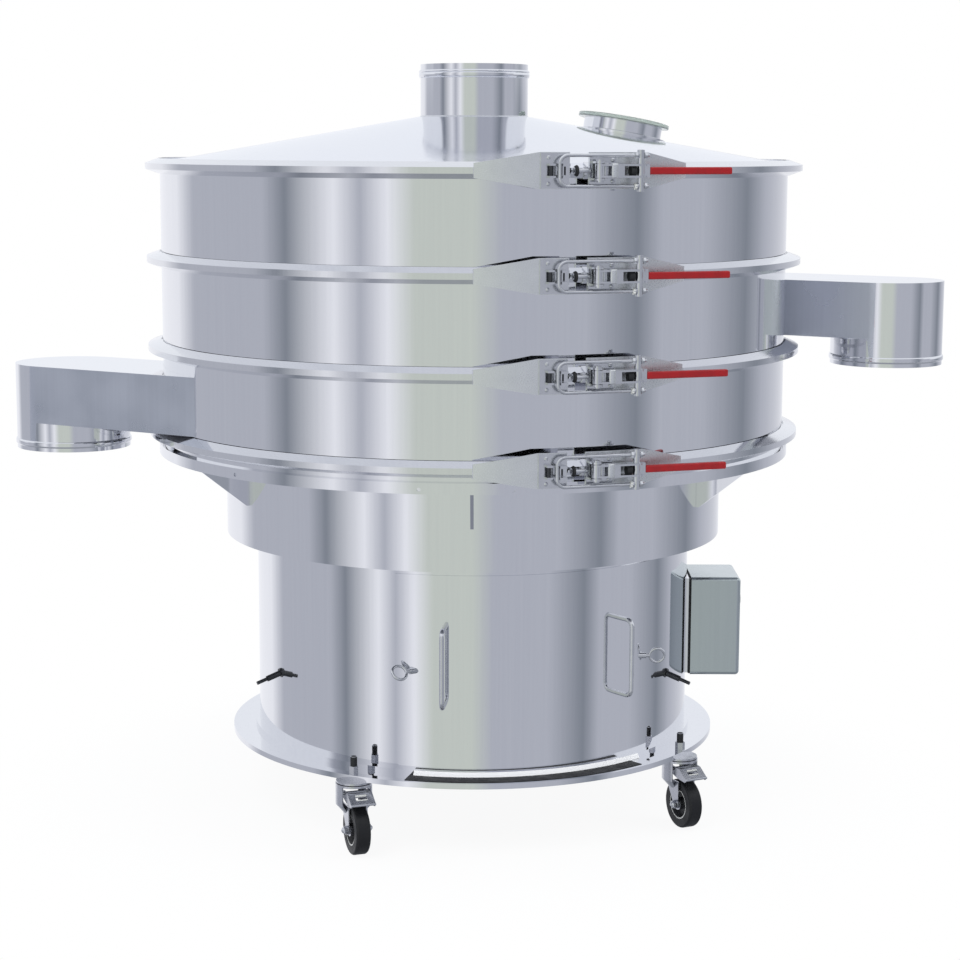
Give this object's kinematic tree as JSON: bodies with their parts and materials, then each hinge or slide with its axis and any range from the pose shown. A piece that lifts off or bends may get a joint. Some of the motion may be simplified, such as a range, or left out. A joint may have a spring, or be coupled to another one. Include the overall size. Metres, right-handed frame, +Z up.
{
  "type": "vibrating screen",
  "caption": "Round two-deck vibrating screen in polished steel: coned lid with inlet, stacked frames held by V-clamps with toggle levers, discharge chutes, drum base on braked casters",
  "frame": {"origin": "On the floor, on the machine's vertical axis", "axes": "+Z up along the machine's axis; +X out over the upper chute's duct, parallel to it; -X along the lower chute's duct"},
  "size_m": [1.587, 1.4115, 1.4509],
  "materials": {
    "polished_steel": "mirror-polished stainless steel",
    "dark_steel": "dull dark steel",
    "screen_wire": "woven stainless wire",
    "black_rubber": "moulded black rubber",
    "black_plastic": "matt black moulding",
    "red_grip": "dipped soft plastic",
    "wheel_rubber": "solid rubber tread",
    "wheel_core": "moulded core",
    "clear_cover": "clear moulded cover"
  },
  "bodies": {
    "machine": {"base_plate": "polished_steel", "base_drum": "polished_steel", "access_panel": "polished_steel", "panel_handles": "polished_steel", "eye_bolts": "polished_steel", "side_studs": "dark_steel", "box_saddle": "polished_steel", "box_gasket": "black_rubber", "box_cover": "polished_steel", "switch_knob": "black_plastic", "spring_mounts": "black_rubber", "upper_drum": "polished_steel", "gusset_plates": "polished_steel", "table_ring": "polished_steel", "bottom_frame": "polished_steel", "middle_frame": "polished_steel", "top_frame": "polished_steel", "chute_left": "polished_steel", "chute_right": "polished_steel", "chute_rear": "polished_steel", "upper_screen": "screen_wire", "lower_screen": "screen_wire", "rim_gaskets": "black_rubber", "lid_cone": "polished_steel", "inlet_spout": "polished_steel", "port_collar": "polished_steel", "port_cover": "clear_cover", "caster_heads": "polished_steel", "clamp_ring_1": "polished_steel", "clamp_ring_2": "polished_steel", "clamp_ring_3": "polished_steel", "clamp_ring_4": "polished_steel"},
    "lever_1": {"clamp_lever_1": "polished_steel", "clamp_grip_1": "red_grip"},
    "bail_1": {"clamp_bail_1": "polished_steel"},
    "lever_2": {"clamp_lever_2": "polished_steel", "clamp_grip_2": "red_grip"},
    "bail_2": {"clamp_bail_2": "polished_steel"},
    "lever_3": {"clamp_lever_3": "polished_steel", "clamp_grip_3": "red_grip"},
    "bail_3": {"clamp_bail_3": "polished_steel"},
    "lever_4": {"clamp_lever_4": "polished_steel", "clamp_grip_4": "red_grip"},
    "bail_4": {"clamp_bail_4": "polished_steel"},
    "caster_1": {"caster_fork_1": "polished_steel"},
    "wheel_1": {"caster_wheel_1": "wheel_core", "caster_tyre_1": "wheel_rubber"},
    "pedal_1": {"caster_pedal_1": "polished_steel"},
    "caster_2": {"caster_fork_2": "polished_steel"},
    "wheel_2": {"caster_wheel_2": "wheel_core", "caster_tyre_2": "wheel_rubber"},
    "pedal_2": {"caster_pedal_2": "polished_steel"},
    "caster_3": {"caster_fork_3": "polished_steel"},
    "wheel_3": {"caster_wheel_3": "wheel_core", "caster_tyre_3": "wheel_rubber"},
    "pedal_3": {"caster_pedal_3": "polished_steel"},
    "caster_4": {"caster_fork_4": "polished_steel"},
    "wheel_4": {"caster_wheel_4": "wheel_core", "caster_tyre_4": "wheel_rubber"},
    "pedal_4": {"caster_pedal_4": "polished_steel"}
  },
  "joints": [
    {"name": "lever_1_swing", "type": "hinge", "parent": "machine", "child": "lever_1", "pos_m": [0.4981, -0.43605, 1.2557], "axis": [0, 0, -1], "range_deg": [0, 125]},
    {"name": "bail_1_swing", "type": "hinge", "parent": "lever_1", "child": "bail_1", "pos_m": [0.546, -0.3783, 1.2557], "axis": [0, 0, -1], "range_deg": [-138, 0]},
    {"name": "lever_2_swing", "type": "hinge", "parent": "machine", "child": "lever_2", "pos_m": [0.4981, -0.43605, 1.0786], "axis": [0, 0, -1], "range_deg": [0, 125]},
    {"name": "bail_2_swing", "type": "hinge", "parent": "lever_2", "child": "bail_2", "pos_m": [0.546, -0.3783, 1.0786], "axis": [0, 0, -1], "range_deg": [-138, 0]},
    {"name": "lever_3_swing", "type": "hinge", "parent": "machine", "child": "lever_3", "pos_m": [0.4981, -0.43605, 0.9081], "axis": [0, 0, -1], "range_deg": [0, 125]},
    {"name": "bail_3_swing", "type": "hinge", "parent": "lever_3", "child": "bail_3", "pos_m": [0.546, -0.3783, 0.9081], "axis": [0, 0, -1], "range_deg": [-138, 0]},
    {"name": "lever_4_swing", "type": "hinge", "parent": "machine", "child": "lever_4", "pos_m": [0.4981, -0.43605, 0.746], "axis": [0, 0, -1], "range_deg": [0, 125]},
    {"name": "bail_4_swing", "type": "hinge", "parent": "lever_4", "child": "bail_4", "pos_m": [0.546, -0.3783, 0.746], "axis": [0, 0, -1], "range_deg": [-138, 0]},
    {"name": "caster_1_swivel", "type": "hinge", "parent": "machine", "child": "caster_1", "pos_m": [0.02143, -0.47201, 0.132], "axis": [0, 0, 1], "continuous": true},
    {"name": "wheel_1_spin", "type": "hinge", "parent": "caster_1", "child": "wheel_1", "pos_m": [0.03522, -0.48358, 0.047], "axis": [0.6428, 0.766, 0], "continuous": true},
    {"name": "pedal_1_lift", "type": "hinge", "parent": "caster_1", "child": "pedal_1", "pos_m": [0.03063, -0.47973, 0.116], "axis": [-0.6428, -0.766, 0], "range_deg": [0, 6]},
    {"name": "caster_2_swivel", "type": "hinge", "parent": "machine", "child": "caster_2", "pos_m": [0.47221, -0.01649, 0.132], "axis": [0, 0, 1], "continuous": true},
    {"name": "wheel_2_spin", "type": "hinge", "parent": "caster_2", "child": "wheel_2", "pos_m": [0.48713, -0.02655, 0.047], "axis": [0.5592, 0.829, 0], "continuous": true},
    {"name": "pedal_2_lift", "type": "hinge", "parent": "caster_2", "child": "pedal_2", "pos_m": [0.48216, -0.0232, 0.116], "axis": [-0.5592, -0.829, 0], "range_deg": [0, 6]},
    {"name": "caster_3_swivel", "type": "hinge", "parent": "machine", "child": "caster_3", "pos_m": [-0.01649, 0.47221, 0.132], "axis": [0, 0, 1], "continuous": true},
    {"name": "wheel_3_spin", "type": "hinge", "parent": "caster_3", "child": "wheel_3", "pos_m": [-0.00157, 0.46215, 0.047], "axis": [0.5592, 0.829, 0], "continuous": true},
    {"name": "pedal_3_lift", "type": "hinge", "parent": "caster_3", "child": "pedal_3", "pos_m": [-0.00654, 0.4655, 0.116], "axis": [-0.5592, -0.829, 0], "range_deg": [0, 6]},
    {"name": "caster_4_swivel", "type": "hinge", "parent": "machine", "child": "caster_4", "pos_m": [-0.47221, 0.01649, 0.132], "axis": [0, 0, 1], "continuous": true},
    {"name": "wheel_4_spin", "type": "hinge", "parent": "caster_4", "child": "wheel_4", "pos_m": [-0.45765, 0.00591, 0.047], "axis": [0.5878, 0.809, 0], "continuous": true},
    {"name": "pedal_4_lift", "type": "hinge", "parent": "caster_4", "child": "pedal_4", "pos_m": [-0.4625, 0.00944, 0.116], "axis": [-0.5878, -0.809, 0], "range_deg": [0, 6]}
  ],
  "couplings": [
    {"joint": "bail_1_swing", "follows": "lever_1_swing", "ratio": -1.1},
    {"joint": "bail_2_swing", "follows": "lever_2_swing", "ratio": -1.1},
    {"joint": "bail_3_swing", "follows": "lever_3_swing", "ratio": -1.1},
    {"joint": "bail_4_swing", "follows": "lever_4_swing", "ratio": -1.1}
  ]
}
